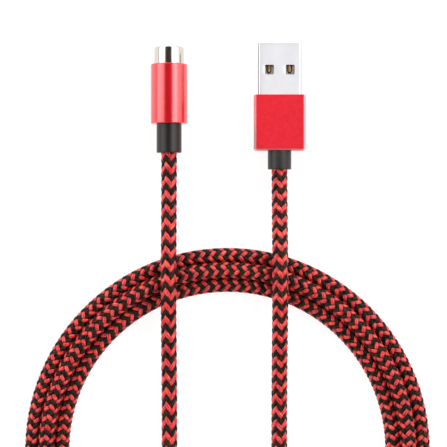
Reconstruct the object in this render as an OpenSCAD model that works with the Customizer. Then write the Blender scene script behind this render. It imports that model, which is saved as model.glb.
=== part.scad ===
// Braided charging cable: a full-size USB plug, a coiled cord and a round magnetic
// head with a spring contact. It lies flat on Z = 0 with both connectors along +Y.

/* [USB plug] */
// Width of the steel shell
shell_w = 12.0; // [11.9:0.05:12.1]
// Height of the steel shell
shell_h = 4.5; // [4.4:0.05:4.6]
// Thickness of the shell's sheet
shell_wall = 0.3; // [0.25:0.05:0.35]
// Length of shell that stands out of the cover
shell_len = 14.5; // [12:0.1:16]
// Width of each latch window across the shell
window_w = 2.5; // [2:0.1:3]
// Length of each latch window along the shell
window_len = 2.7; // [2:0.1:3]
// Distance from the shell's mouth to its windows
window_setback = 6.1; // [5:0.1:6.5]
// Distance between the centres of the two windows
window_pitch = 5.8; // [5:0.1:6]
// Thickness of the contact carrier
tongue_h = 1.84; // [1.7:0.02:1.9]
// Width of each contact
contact_w = 1.0; // [0.8:0.05:1.1]

/* [USB cover] */
// Width of the aluminium cover
cover_w = 14.4; // [14.2:0.1:16]
// Thickness of the aluminium cover
cover_t = 7.6; // [7.5:0.1:9]
// Length of the aluminium cover
cover_len = 15.4; // [14:0.1:20]
// Wall of the cover
cover_wall = 0.8; // [0.6:0.05:0.9]
// Width of the polished chamfers
cover_chamfer = 0.6; // [0.3:0.05:0.7]

/* [Magnetic head] */
// Diameter of the steel nose
nose_d = 8.3; // [8:0.1:8.6]
// Length of nose that stands out of the sleeve
nose_len = 4.8; // [4:0.1:6]
// Rounding of the nose's front edge
nose_round = 0.6; // [0.3:0.05:0.65]
// Diameter of the aluminium sleeve
sleeve_d = 10.2; // [10:0.1:12]
// Length of the aluminium sleeve
sleeve_len = 16.6; // [16:0.1:20]
// Rounding of the sleeve's rims
sleeve_round = 0.3; // [0.1:0.05:0.6]
// Travel of the centre contact
pin_travel = 0.6; // [0.3:0.05:0.7]

/* [Strain reliefs] */
// Diameter of the collar at the magnetic head
head_collar_d = 7.0; // [6.5:0.1:7.4]
// Length of that collar outside the sleeve
head_collar_len = 8.1; // [6:0.1:10]
// Diameter of the collar at the USB plug
usb_collar_d = 6.6; // [6:0.1:6.8]
// Length of that collar outside the cover
usb_collar_len = 5.3; // [5:0.1:8]

/* [Cord] */
// Diameter over the braid
cord_d = 4.5; // [4:0.1:4.5]
// Diameter of the plastic jacket under the braid
jacket_d = 3.4; // [3:0.1:3.6]
// Outer diameter of each insulated wire
wire_d = 1.1; // [0.9:0.05:1.2]
// Radius of the coil at its middle turn
coil_r = 50.7; // [48:0.1:52]
// Step in radius from one turn to the next
lane_pitch = 4.0; // [3.8:0.1:4.2]
// Width of the strap that holds the coil
tie_w = 12; // [10:1:16]
// Thickness of the strap
tie_t = 0.9; // [0.8:0.1:1]

/* [Hidden] */

round_fn = 96;      // segments on every round surface
fit = 0.05;         // gap between two pieces pressed or moulded together

// The two connectors stand side by side, centred on the origin.
head_x = -16.5;
usb_x = 14.4;
head_z = sleeve_d / 2;
usb_z = cover_t / 2;
usb_tip = 17.6;
head_tip = 16.5;

// USB plug, along Y
cover_front = usb_tip - shell_len;
cover_rear = cover_front - cover_len;
usb_collar_end = cover_rear - usb_collar_len;
shell_rear = cover_front - 4;
tongue_front = usb_tip - 0.7;
block_front = shell_rear + 3.2;          // front of the carrier's full-height block
tail_rear = shell_rear - 2;              // ends of the contacts' solder tails
tongue_top = tongue_h - shell_h / 2 + shell_wall;
contact_t = 0.3;
power_x = 3.5;                           // outer contacts, from the plug's centre
data_x = 1.0;                            // inner contacts
usb_jacket_y = [-9.95, -7.2];            // where the bare jacket starts and ends
cavity_w = cover_w - 2 * cover_wall;
cavity_t = cover_t - 2 * cover_wall;
cavity_rear = cover_rear + 1.2;

// Magnetic head, along Y
sleeve_front = head_tip - nose_len;
sleeve_rear = sleeve_front - sleeve_len;
head_collar_end = sleeve_rear - head_collar_len;
nose_r = nose_d / 2;
nose_bore_r = nose_r - 0.65;
nose_rear = sleeve_front - 5;
spigot_r = nose_r - 0.35;                // the nose is slimmer inside the sleeve
sleeve_bore_r = spigot_r + fit;
sleeve_floor = sleeve_rear + 1.3;        // inner face of the sleeve's rear wall
face_y = head_tip - 0.8;                 // front of the contact disc, sunk in the nose
disc_rear = face_y - 0.6;
board_front = 8.6;
board_t = 0.8;
ring_r = [1.4, 2.4];                     // ring contact, inner and outer radius
tail_z = 1.65;                           // the ring contact's tail, above the axis
barrel_r = 0.8;
barrel_bore_r = 0.56;
lip_r = 0.42;
tip_r = 0.35;
shoulder_r = 0.5;
lip_rear = face_y - 0.6;
shoulder_front = lip_rear - 0.05;
pin_tip = face_y + pin_travel + 0.05;
pin_rear = 12.9;
spring_rear = board_front + 0.75;
spring_turns = 8;
head_jacket_y = [-3.0, -1.2];            // where the bare jacket starts and ends

// Coil: three lanes side by side, the middle one resting on the other two
coil_centre = [-0.2, -96.5];
lane_rise = 2.05;
lanes = [[coil_r - lane_pitch, cord_d / 2],
    [coil_r, cord_d / 2 + lane_rise],
    [coil_r + lane_pitch, cord_d / 2]];
shoulder_angle = atan2(lane_pitch, lane_rise);   // where the outline leaves a lane
tie_angle = -45;                         // the strap's place round the coil
tie_gap = 0.5;                           // room for the coil's curve under the strap

// Route of the cord from the magnetic head over the coil's far side, down across its
// inside and round into the inner lane.
head_route = [[-16.5, -3, 5.1], [-16.5, -13, 5.1], [-16.5, -22, 5.4], [-16.5, -32, 6.8],
    [-16.5, -41, 8.4], [-16.5, -49, 9.0], [-16.5, -57, 8.4], [-16.5, -66, 6.3],
    [-16.5, -75, 3.9], [-16.5, -84, 2.6], [-16.5, -94, 2.25], [-16.5, -105, 2.25],
    [-16.4, -116, 2.25], [-14.8, -125.5, 2.25], [-10.2, -133, 2.25], [-3.2, -138.5, 2.25],
    [5.9, -141.3, 2.25]];
// Route of the cord from the USB plug, over the coil, then over the other run and the
// inner lanes in one low hump, and down into the outer lane.
usb_route = [[14.4, -10, 3.8], [14.4, -18, 3.8], [14.4, -27, 4.6], [14.4, -35, 6.6],
    [14.4, -42, 8.4], [14.4, -49, 9.0], [14.4, -57, 8.4], [14.4, -66, 6.3],
    [14.4, -75, 3.9], [14.4, -84, 2.6], [14.4, -94, 2.25], [14.4, -105, 2.4],
    [14.2, -115, 3.2], [12.9, -124.5, 4.6], [9.6, -132.2, 6.1], [4.5, -138, 7.0],
    [-2.4, -142.8, 7.1], [-10.4, -145.4, 7.1], [-18.5, -145.8, 6.8], [-26.2, -144, 5.8],
    [-33.6, -139.8, 4.3], [-40.3, -134.2, 2.9]];
// Wires inside the connectors, from solder joint to jacket
usb_wire = [[3.5, -3, -0.1], [3.4, -3.9, -0.1], [2.4, -5, 0], [1.3, -6, 0], [0.8, -6.9, 0],
    [0.8, -8.3, 0]];
head_pin_wire = [[0, 7.3, 0], [0, 6.2, 0], [0.4, 4.6, 0], [0.8, 2.6, 0], [0.8, -1.6, 0]];
head_ring_wire = [[0, 7.3, 1.65], [0, 6.2, 1.65], [-0.5, 4.4, 1.2], [-0.8, 2.4, 0],
    [-0.8, -1.6, 0]];

// Profile drawn as (radius, Y), turned about an axis along Y
module turned(x, z)
    translate([x, 0, z]) rotate([-90, 0, 0]) rotate_extrude($fn = round_fn) children();

// Ring or, with no inner radius, a disc between two places along Y
module ring(x, z, outer, inner, from, to)
    turned(x, z) translate([inner, from]) square([outer - inner, to - from]);

// Outline drawn as (X, Z), extruded along Y
module bar(x, z, from, to)
    translate([x, to, z]) rotate([90, 0, 0]) linear_extrude(to - from) children();

module rounded(w, h, r)
    union() {
        square([w - 2 * r, h], center = true);
        square([w, h - 2 * r], center = true);
        for (sx = [-1, 1], sz = [-1, 1])
            translate([sx * (w / 2 - r), sz * (h / 2 - r)]) circle(r, $fn = 32);
    }

module chamfered(w, h, c)
    polygon([[-w / 2, -h / 2 + c], [-w / 2 + c, -h / 2], [w / 2 - c, -h / 2], [w / 2, -h / 2 + c],
        [w / 2, h / 2 - c], [w / 2 - c, h / 2], [-w / 2 + c, h / 2], [-w / 2, h / 2 - c]]);

function unit(v) = v / norm(v);
function heading(p, i) = unit(p[min(i + 1, len(p) - 1)] - p[max(i - 1, 0)]);

// Round tube swept along its route's own points, one ring of corners at each
module tube(p, r, sides, level = [0, 0, 1]) {
    n = len(p);
    corners = [for (i = [0:n - 1])
        let (t = heading(p, i), side = unit(cross(t, level)), up = cross(side, t))
        for (k = [0:sides - 1])
            p[i] + r * (cos(360 * k / sides) * side + sin(360 * k / sides) * up)];
    walls = [for (i = [0:n - 2], k = [0:sides - 1])
        let (a = i * sides + k, b = i * sides + (k + 1) % sides)
        [a, b, b + sides, a + sides]];
    start = [for (k = [sides - 1:-1:0]) k];
    finish = [for (k = [0:sides - 1]) (n - 1) * sides + k];
    polyhedron(points = corners, faces = concat([start, finish], walls));
}

// ---- USB plug ----

// Folded steel shell with two latch windows above and below and its butt seam beneath
module usb_shell() color("#D9D9DE")
    difference() {
        bar(usb_x, usb_z, shell_rear, usb_tip) difference() {
            rounded(shell_w, shell_h, 0.6);
            rounded(shell_w - 2 * shell_wall, shell_h - 2 * shell_wall, 0.35);
        }
        for (side = [-1, 1])
            translate([usb_x + side * window_pitch / 2 - window_w / 2,
                usb_tip - window_setback - window_len, usb_z - shell_h])
                cube([window_w, window_len, 2 * shell_h]);
        translate([usb_x - 0.06, shell_rear - 1, usb_z - shell_h])
            cube([0.12, shell_len + 6, shell_h]);
    }

// Grooves that the contacts lie in
module contact_grooves()
    for (x = [-power_x, -data_x, data_x, power_x])
        bar(usb_x + x, usb_z, shell_rear - 1, tongue_front - 0.6)
            translate([-contact_w / 2 - fit, tongue_top - 0.2 - fit])
                square([contact_w + 2 * fit, contact_t + 2 * fit]);

// Plastic carrier: a thin tongue in front, a full-height block behind
module usb_tongue() color("#1B1B1D")
    difference() {
        union() {
            bar(usb_x, usb_z, shell_rear, tongue_front)
                translate([-shell_w / 2 + shell_wall + 0.3, -shell_h / 2 + shell_wall + fit])
                    square([shell_w - 2 * shell_wall - 0.6, tongue_h - fit]);
            bar(usb_x, usb_z, shell_rear, block_front)
                square([shell_w - 2 * shell_wall - 0.8, shell_h - 2 * shell_wall - 2 * fit],
                    center = true);
        }
        contact_grooves();
    }

module contact(x, front)
    translate([usb_x + x - contact_w / 2, tail_rear, usb_z + tongue_top - 0.2])
        cube([contact_w, front - tail_rear, contact_t]);

// The two outer contacts reach further forward, so that power mates first
module usb_power_contacts() color("#D9A441")
    for (x = [-power_x, power_x]) contact(x, tongue_front - 0.9);

module usb_data_contacts() color("#D9A441")
    for (x = [-data_x, data_x]) contact(x, tongue_front - 1.9);

// A bead of solder on top of each power tail
module usb_solder() color("#B9BCC0")
    for (x = [-power_x, power_x])
        bar(usb_x + x, usb_z + tongue_top + contact_t - 0.2, tail_rear, tail_rear + 1.3)
            polygon([[-0.45, 0], [0.45, 0], [0.25, 0.35], [-0.25, 0.35]]);

module usb_lead(side)
    tube([for (q = usb_wire) [usb_x + side * q[0], q[1], usb_z + q[2]]], wire_d / 2, 8);

module usb_wire_power() color("#C01818") usb_lead(1);

module usb_wire_ground() color("#202020") usb_lead(-1);

// Bare plastic jacket between the crimp ring and the wires
module usb_jacket_end() color("#3A3A3C")
    difference() {
        ring(usb_x, usb_z, jacket_d / 2, 0, usb_jacket_y[0], usb_jacket_y[1]);
        for (side = [-1, 1])
            ring(usb_x + side * 0.8, usb_z, wire_d / 2 + fit, 0, usb_jacket_y[1] - 1.2,
                usb_jacket_y[1] + 1);
    }

// Steel ring crimped on the braid's end
module usb_crimp_ring() color("#A9ABB0")
    ring(usb_x, usb_z, jacket_d / 2 + 0.45, jacket_d / 2 + fit, usb_jacket_y[0] + 0.3,
        usb_jacket_y[1] - 0.2);

// White block that fills the cover, moulded round the shell's rear, wires and jacket
module usb_inner_mould() color("#E4E2DC")
    difference() {
        bar(usb_x, usb_z, cavity_rear + 1.3, cover_front - 0.15)
            square([cavity_w - 2 * fit, cavity_t - 2 * fit], center = true);
        bar(usb_x, usb_z, shell_rear - fit, cover_front + 1)
            rounded(shell_w + 2 * fit, shell_h + 2 * fit, 0.6);
        bar(usb_x, usb_z, usb_jacket_y[1] - 0.2, shell_rear)
            square([9.4, 4.2], center = true);
        ring(usb_x, usb_z, jacket_d / 2 + 0.5, 0, cavity_rear, usb_jacket_y[1]);
    }

// Anodised aluminium cover: an open box with a hole for the collar in its rear wall
module usb_cover() color("#D8202E")
    difference() {
        intersection() {
            bar(usb_x, usb_z, cover_rear, cover_front)
                chamfered(cover_w, cover_t, cover_chamfer);
            // rear rims, chamfered in plan and in side view
            translate([usb_x, (cover_rear + cover_front) / 2, 0])
                linear_extrude(cover_t) rear_chamfered(cover_w, 0.3);
            translate([usb_x - cover_w, (cover_rear + cover_front) / 2, usb_z])
                rotate([0, 90, 0]) linear_extrude(2 * cover_w) rear_chamfered(cover_t, 0.3);
        }
        bar(usb_x, usb_z, cavity_rear, cover_front + 1)
            square([cavity_w, cavity_t], center = true);
        ring(usb_x, usb_z, usb_collar_d / 2 + fit, 0, cover_rear - 1, cavity_rear + 0.01);
    }

// Cover outline with its two rear corners cut, centred on its own middle
module rear_chamfered(w, c)
    polygon([[-w / 2, cover_len / 2], [-w / 2, c - cover_len / 2], [c - w / 2, -cover_len / 2],
        [w / 2 - c, -cover_len / 2], [w / 2, c - cover_len / 2], [w / 2, cover_len / 2]]);

// Black strain relief with a flange behind the cover's rear wall
module usb_collar() color("#242426")
    difference() {
        union() {
            ring(usb_x, usb_z, usb_collar_d / 2, 0, usb_collar_end, cavity_rear);
            ring(usb_x, usb_z, cavity_t / 2 - 2 * fit, 0, usb_collar_end, cavity_rear + 1);
            bar(usb_x, usb_z, cavity_rear + 0.01, cavity_rear + 1.2)
                square([8, cavity_t - 4 * fit], center = true);
        }
        ring(usb_x, usb_z, cord_d / 2 + fit, 0, usb_collar_end - 1, cavity_rear + 2);
    }

// ---- Magnetic head ----

// Turned steel nose, a plain tube with a rounded front rim
module head_nose() color("#E6E6E8")
    turned(head_x, head_z) {
        difference() {
            union() {
                translate([nose_bore_r, nose_rear])
                    square([spigot_r - nose_bore_r, nose_len + 5 - nose_round]);
                translate([nose_bore_r, sleeve_front + 0.01])
                    square([nose_r - nose_bore_r, nose_len - nose_round - 0.01]);
                translate([nose_r - nose_round, head_tip - nose_round])
                    circle(nose_round, $fn = 48);
            }
            translate([nose_bore_r - 2, nose_rear]) square([2, 20]);
        }
    }

// Ring magnet behind the contact disc
module head_magnet() color("#B5B7BC")
    ring(head_x, head_z, nose_bore_r - fit, 2.1, board_front + 1.4, disc_rear - fit);

// Black disc and stem that carry both contacts through the magnet
module head_insulator() color("#161618")
    difference() {
        union() {
            ring(head_x, head_z, nose_bore_r - fit, 0, disc_rear, face_y);
            ring(head_x, head_z, 2.05, 0, board_front + fit, disc_rear + 0.1);
        }
        ring(head_x, head_z, ring_r[1] + fit, ring_r[0] - fit, face_y - 0.3, face_y + 1);
        ring(head_x, head_z, barrel_r + fit, 0, board_front - 1, face_y + 1);
        ring(head_x, head_z + tail_z, 0.25, 0, board_front - 1, face_y);
    }

// Gold-plated ring with a round tail back to the board
module head_ring_contact() color("#D9A441")
    union() {
        ring(head_x, head_z, ring_r[1], ring_r[0], face_y - 0.25, face_y + 0.05);
        ring(head_x, head_z + tail_z, 0.2, 0, board_front - board_t - 0.4, face_y - 0.2);
    }

// Brass barrel that holds the sprung pin, closed behind, with a solder tail
module head_pin_barrel() color("#C79A3B")
    turned(head_x, head_z)
        polygon([[0, board_front - board_t - 0.4], [0.4, board_front - board_t - 0.4],
            [0.4, board_front], [barrel_r, board_front], [barrel_r, face_y],
            [lip_r, face_y], [lip_r, lip_rear], [barrel_bore_r, lip_rear],
            [barrel_bore_r, board_front + 0.7], [0, board_front + 0.7]]);

// Centre contact: a rounded tip in front of a shoulder that stops on the barrel's lip
module head_pin_plunger() color("#E2B44E")
    turned(head_x, head_z) {
        translate([0, pin_rear]) square([shoulder_r, shoulder_front - pin_rear]);
        translate([0, pin_rear]) square([tip_r, pin_tip - tip_r - pin_rear]);
        intersection() {
            translate([0, pin_tip - tip_r]) circle(tip_r, $fn = 48);
            translate([0, pin_tip - tip_r]) square(tip_r);
        }
    }

// Compression spring between the barrel's floor and the pin
module head_pin_spring() color("#C8C8CC")
    tube([for (k = [0:10 * spring_turns])
        [head_x + 0.4 * cos(36 * k),
            spring_rear + 0.08 + k * (pin_rear - spring_rear - 0.2) / (10 * spring_turns),
            head_z + 0.4 * sin(36 * k)]],
        0.07, 6, [0, 1, 0]);

module head_board() color("#1F6B3A")
    difference() {
        ring(head_x, head_z, 3.4, 0, board_front - board_t, board_front - 0.02);
        ring(head_x, head_z, 0.45, 0, 0, 20);
        ring(head_x, head_z + tail_z, 0.25, 0, 0, 20);
    }

// Fillets of solder round the two tails, on the board's rear face
module head_solder() color("#B9BCC0") {
    turned(head_x, head_z) solder_profile(0.42);
    turned(head_x, head_z + tail_z) solder_profile(0.22);
}

module solder_profile(inner)
    polygon([[inner, board_front - board_t - 0.02], [0.75, board_front - board_t - 0.02],
        [inner + 0.12, board_front - board_t - 0.4], [inner, board_front - board_t - 0.4]]);

module head_lead(route)
    tube([for (q = route) [head_x + q[0], q[1], head_z + q[2]]], wire_d / 2 - 0.05, 8);

module head_wire_power() color("#C01818") head_lead(head_pin_wire);

module head_wire_ground() color("#202020") head_lead(head_ring_wire);

module head_jacket_end() color("#3A3A3C")
    difference() {
        ring(head_x, head_z, jacket_d / 2, 0, head_jacket_y[0], head_jacket_y[1]);
        for (side = [-1, 1])
            ring(head_x + side * 0.8, head_z, wire_d / 2 + fit, 0, head_jacket_y[1] - 0.9,
                head_jacket_y[1] + 1);
    }

module head_crimp_ring() color("#A9ABB0")
    ring(head_x, head_z, jacket_d / 2 + 0.45, jacket_d / 2 + fit, head_jacket_y[0] + 0.2,
        head_jacket_y[1] - 0.2);

// White plug of plastic that fills the sleeve behind the board, hollow round the wires
module head_inner_mould() color("#E4E2DC")
    difference() {
        ring(head_x, head_z, sleeve_bore_r - fit, 0, sleeve_floor + 1.3, nose_rear - 0.2);
        ring(head_x, head_z, jacket_d / 2 + 0.5, 0, sleeve_floor, head_jacket_y[1] + 0.2);
        ring(head_x, head_z, 2.6, 0, head_jacket_y[1], nose_rear + 1);
    }

// Anodised aluminium sleeve with rounded rims and a rear wall round the collar
module head_sleeve() color("#D8202E")
    turned(head_x, head_z) {
        difference() {
            union() {
                translate([0, sleeve_rear + sleeve_round])
                    square([sleeve_d / 2, sleeve_len - 2 * sleeve_round]);
                translate([0, sleeve_rear])
                    square([sleeve_d / 2 - sleeve_round, sleeve_len]);
                for (y = [sleeve_rear + sleeve_round, sleeve_front - sleeve_round])
                    translate([sleeve_d / 2 - sleeve_round, y]) circle(sleeve_round, $fn = 32);
            }
            translate([0, sleeve_floor]) square([sleeve_bore_r, sleeve_len]);
            translate([0, sleeve_rear - 1]) square([head_collar_d / 2 + fit, 4]);
        }
    }

module head_collar() color("#242426")
    turned(head_x, head_z)
        polygon([[cord_d / 2 + fit, head_collar_end], [head_collar_d / 2 - 0.3, head_collar_end],
            [head_collar_d / 2, head_collar_end + 0.3], [head_collar_d / 2, sleeve_floor + fit],
            [sleeve_bore_r - fit, sleeve_floor + fit], [sleeve_bore_r - fit, sleeve_floor + 1.2],
            [cord_d / 2 + fit, sleeve_floor + 1.2]]);

// ---- Cord ----

module cord_run_head() color("#A3242B") tube(head_route, cord_d / 2, 12);

module cord_run_usb() color("#A3242B") tube(usb_route, cord_d / 2, 12);

// Outline of one lane's round side, between two angles
function lane_arc(i, from, to) = [for (k = [0:8])
    let (a = from + (to - from) * k / 8)
    lanes[i] + cord_d / 2 * [cos(a), sin(a)]];

// The three turns as one solid: their outline in section, turned about the coil's centre,
// with a notch beneath for the strap
module cord_coil() color("#A3242B")
    translate(concat(coil_centre, 0)) difference() {
        rotate_extrude($fn = 180)
            polygon(concat(lane_arc(2, -90, shoulder_angle),
                lane_arc(1, shoulder_angle, 180 - shoulder_angle),
                lane_arc(0, 180 - shoulder_angle, 270)));
        rotate([0, 0, tie_angle]) translate([coil_r - 10, -tie_w / 2 - 0.5, -1])
            cube([20, tie_w + 1, 1 + tie_t + fit]);
    }

// Hook-and-loop strap: a closed band round the three turns with its end lapped on top
module coil_tie() color("#151515")
    translate(concat(coil_centre, 0)) rotate([0, 0, tie_angle])
        translate([coil_r, 0, 0]) rotate([90, 0, 0])
            linear_extrude(tie_w, center = true) tie_outline();

module tie_outline() {
    inner_w = 2 * lane_pitch + cord_d + 2 * tie_gap;
    inner_h = cord_d + lane_rise + tie_t;
    translate([0, tie_t + inner_h / 2])
        difference() {
            rounded(inner_w + 2 * tie_t, inner_h + 2 * tie_t, 2.2);
            rounded(inner_w, inner_h, 1.3);
        }
    translate([-inner_w / 2 + 1.5, inner_h + 2 * tie_t - 0.2])
        square([inner_w * 0.55, tie_t * 0.8 + 0.2]);
}

usb_shell();
usb_tongue();
usb_power_contacts();
usb_data_contacts();
usb_solder();
usb_wire_power();
usb_wire_ground();
usb_jacket_end();
usb_crimp_ring();
usb_inner_mould();
usb_cover();
usb_collar();
head_nose();
head_magnet();
head_insulator();
head_ring_contact();
head_pin_barrel();
head_pin_plunger();
head_pin_spring();
head_board();
head_solder();
head_wire_power();
head_wire_ground();
head_jacket_end();
head_crimp_ring();
head_inner_mould();
head_sleeve();
head_collar();
cord_run_head();
cord_run_usb();
cord_coil();
coil_tie();
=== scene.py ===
"""Braided charging cable, laid flat: a coiled cord with a round magnetic head at one end
and a full-size USB plug at the other. Metres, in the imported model's own frame."""
import bpy
import numpy as np
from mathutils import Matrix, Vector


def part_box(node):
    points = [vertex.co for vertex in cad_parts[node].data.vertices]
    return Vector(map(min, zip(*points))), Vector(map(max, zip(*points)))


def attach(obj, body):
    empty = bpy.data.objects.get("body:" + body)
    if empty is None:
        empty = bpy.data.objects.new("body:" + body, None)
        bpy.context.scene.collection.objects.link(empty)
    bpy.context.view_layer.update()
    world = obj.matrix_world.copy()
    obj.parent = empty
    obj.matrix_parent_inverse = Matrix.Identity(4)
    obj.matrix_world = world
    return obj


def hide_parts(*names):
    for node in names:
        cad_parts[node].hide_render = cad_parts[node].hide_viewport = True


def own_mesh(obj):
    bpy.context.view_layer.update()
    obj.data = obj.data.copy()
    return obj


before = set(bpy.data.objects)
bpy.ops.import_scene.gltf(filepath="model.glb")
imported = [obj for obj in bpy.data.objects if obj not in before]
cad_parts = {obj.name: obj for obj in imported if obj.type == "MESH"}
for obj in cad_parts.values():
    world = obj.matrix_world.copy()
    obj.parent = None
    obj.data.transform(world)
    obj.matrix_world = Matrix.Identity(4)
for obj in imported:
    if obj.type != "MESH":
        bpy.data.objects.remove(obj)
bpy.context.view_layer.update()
MM = 0.001

# ---- Camera ----
# Looks straight down on the cable from 40 cm. Both connectors are at the top of the view,
# and the half of the coil next to them is at the bottom.
VIEW_CENTRE = (-1.3 * MM, -32.75 * MM)
VIEW_HEIGHT = 400 * MM
VIEW_WIDTH = 125.3 * MM          # what the view takes in at the height of the plug's middle
shell_low, shell_high = (np.array(corner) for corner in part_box("usb_shell"))
plug_z = (shell_low[2] + shell_high[2]) / 2

lens = bpy.data.cameras.new("overhead_camera")
lens.sensor_width = 36
lens.lens = lens.sensor_width * (VIEW_HEIGHT - plug_z) / VIEW_WIDTH
camera = bpy.data.objects.new("overhead_camera", lens)
camera.location = (*VIEW_CENTRE, VIEW_HEIGHT)
bpy.context.scene.collection.objects.link(camera)
bpy.context.scene.camera = camera
bpy.context.scene.view_settings.view_transform = "Standard"


# ---- Table and studio ----
# A pale, lit table top under a white tent. The tent has two bright side walls, dimmer
# towards -Y, a dark opening overhead and dark skirts low down, which metal shows as bands.
def linear(hex_colour):
    """sRGB hex to linear RGBA: a channel up to 0.04045 is divided by 12.92, and a larger
    one is ((c + 0.055) / 1.055) to the power 2.4."""
    c = np.array([int(hex_colour[i:i + 2], 16) for i in (1, 3, 5)]) / 255
    c = np.where(c <= 0.04045, c / 12.92, ((c + 0.055) / 1.055) ** 2.4)
    return (*c, 1.0)


def grey(value):
    return (value, value, value, 1.0)


def add(tree, kind, sockets=None, stops=(), **settings):
    """Adds a node, sets its properties and a ramp's (position, colour) stops, and sets or
    links its inputs. Returns the node."""
    made = tree.nodes.new(kind)
    for key, value in settings.items():
        setattr(made, key, value)
    for i, (position, colour) in enumerate(stops):
        elements = made.color_ramp.elements
        element = elements[i] if i < 2 else elements.new(position)
        element.position, element.color = position, colour
    for key, value in (sockets or {}).items():
        if isinstance(value, bpy.types.NodeSocket):
            tree.links.new(value, made.inputs[key])
        else:
            made.inputs[key].default_value = value
    return made


def surface(name, paint):
    """A material whose paint function adds its nodes and returns the shader's output."""
    material = bpy.data.materials.new(name)
    material.use_nodes = True
    tree = material.node_tree
    tree.nodes.clear()
    add(tree, "ShaderNodeOutputMaterial", {"Surface": paint(tree)})
    return material


def grain(tree, size, detail=2.0, stretch=(1.0, 1.0, 1.0)):
    """Noise in the piece's own coordinates with bumps of about the given size in metres."""
    place = add(tree, "ShaderNodeTexCoord").outputs["Object"]
    placed = add(tree, "ShaderNodeMapping", {"Vector": place, "Scale": stretch})
    return add(tree, "ShaderNodeTexNoise", {
        "Vector": placed.outputs[0], "Scale": 0.5 / size, "Detail": detail}).outputs["Fac"]


def opal_paint(tree):
    """Opal acrylic: matt white, and lit a little from below, so that it keeps no shadow."""
    colour = add(tree, "ShaderNodeValToRGB", {"Fac": grain(tree, 12 * MM)},
                 stops=[(0.3, grey(0.20)), (0.7, grey(0.21))]).outputs["Color"]
    return add(tree, "ShaderNodeBsdfPrincipled", {
        "Base Color": colour, "Roughness": 0.8,
        "Emission Color": grey(1.0), "Emission Strength": 0.88}).outputs["BSDF"]


TABLE_HALF, TABLE_DROP = 3.0, 0.02 * MM      # the top lies just under the cable
table_mesh = bpy.data.meshes.new("table")
table_mesh.from_pydata([(x * TABLE_HALF, y * TABLE_HALF, -TABLE_DROP)
                        for x, y in ((-1, -1), (1, -1), (1, 1), (-1, 1))], [], [(0, 1, 2, 3)])
table = bpy.data.objects.new("table", table_mesh)
bpy.context.scene.collection.objects.link(table)
table_mesh.materials.append(surface("opal_acrylic", opal_paint))

TENT_STRENGTH = 2.6
TENT_WALL = 0.28                 # plain cloth, as a share of the bright panels
OPENING = 0.02                   # the dark opening over the camera
SKIRT = 0.10                     # along Y; the side walls' skirts are lighter
# angle from overhead towards +X or +Y in degrees, and brightness there
TENT_ACROSS = [(-90, 0.25), (-81, 0.3), (-73, 1.0), (-58, 1.0), (-34, 0.7),
               (-24, OPENING), (19, OPENING), (29, 1.0), (48, 1.0), (62, 0.7),
               (80, 0.6), (90, 0.3)]
TENT_ALONG = [(-90, SKIRT), (-52, TENT_WALL), (-38, OPENING), (42, OPENING),
              (56, TENT_WALL), (90, SKIRT)]
TENT_FADE = [(-90, 0.3), (-35, 0.5), (8, 1.0), (90, 1.0)]    # the side walls', along Y


def cloth(value):
    """Tent cloth of a given brightness: the dimmer it is, the warmer."""
    return (value, value * (0.88 + 0.12 * value), value * (0.78 + 0.22 * value), 1.0)


tent = bpy.data.worlds.new("light_tent")
tent.use_nodes = True
tree = tent.node_tree
tree.nodes.clear()
direction = add(tree, "ShaderNodeSeparateXYZ",
                {"Vector": add(tree, "ShaderNodeTexCoord").outputs["Generated"]})
sides = []
for sideways, stops in (("X", TENT_ACROSS), ("Y", TENT_ALONG), ("Y", TENT_FADE)):
    angle = add(tree, "ShaderNodeMath", {0: direction.outputs[sideways],
                                         1: direction.outputs["Z"]}, operation="ARCTAN2")
    share = add(tree, "ShaderNodeMapRange", {
        "Value": angle.outputs[0], "From Min": -np.pi / 2, "From Max": np.pi / 2})
    sides.append(add(tree, "ShaderNodeValToRGB", {"Fac": share.outputs[0]}, stops=[
        ((a + 90) / 180, cloth(value)) for a, value in stops]).outputs["Color"])
walls = add(tree, "ShaderNodeVectorMath", {0: sides[0], 1: sides[2]}, operation="MULTIPLY")
lit_cloth = add(tree, "ShaderNodeVectorMath", {0: walls.outputs[0], 1: sides[1]},
                operation="MAXIMUM")
add(tree, "ShaderNodeOutputWorld", {"Surface": add(tree, "ShaderNodeBackground", {
    "Color": lit_cloth.outputs[0], "Strength": TENT_STRENGTH}).outputs[0]})
bpy.context.scene.world = tent

# A small white card hangs over the plug, so that its flat shell has something to reflect.
# It is kept out of diffuse light, so only shiny surfaces show it.
CARD_LOW, CARD_HIGH, CARD_Z = (-1 * MM, -20 * MM), (30 * MM, 42 * MM), 40 * MM
CARD_POWER = 0.0052
card_lamp = bpy.data.lights.new("white_card", "AREA")
card_lamp.shape = "RECTANGLE"
card_lamp.size, card_lamp.size_y = np.subtract(CARD_HIGH, CARD_LOW)
card_lamp.energy = CARD_POWER
card = bpy.data.objects.new("white_card", card_lamp)
card.location = (*(np.add(CARD_LOW, CARD_HIGH) / 2), CARD_Z)
card.visible_camera = card.visible_diffuse = False
bpy.context.scene.collection.objects.link(card)


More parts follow.
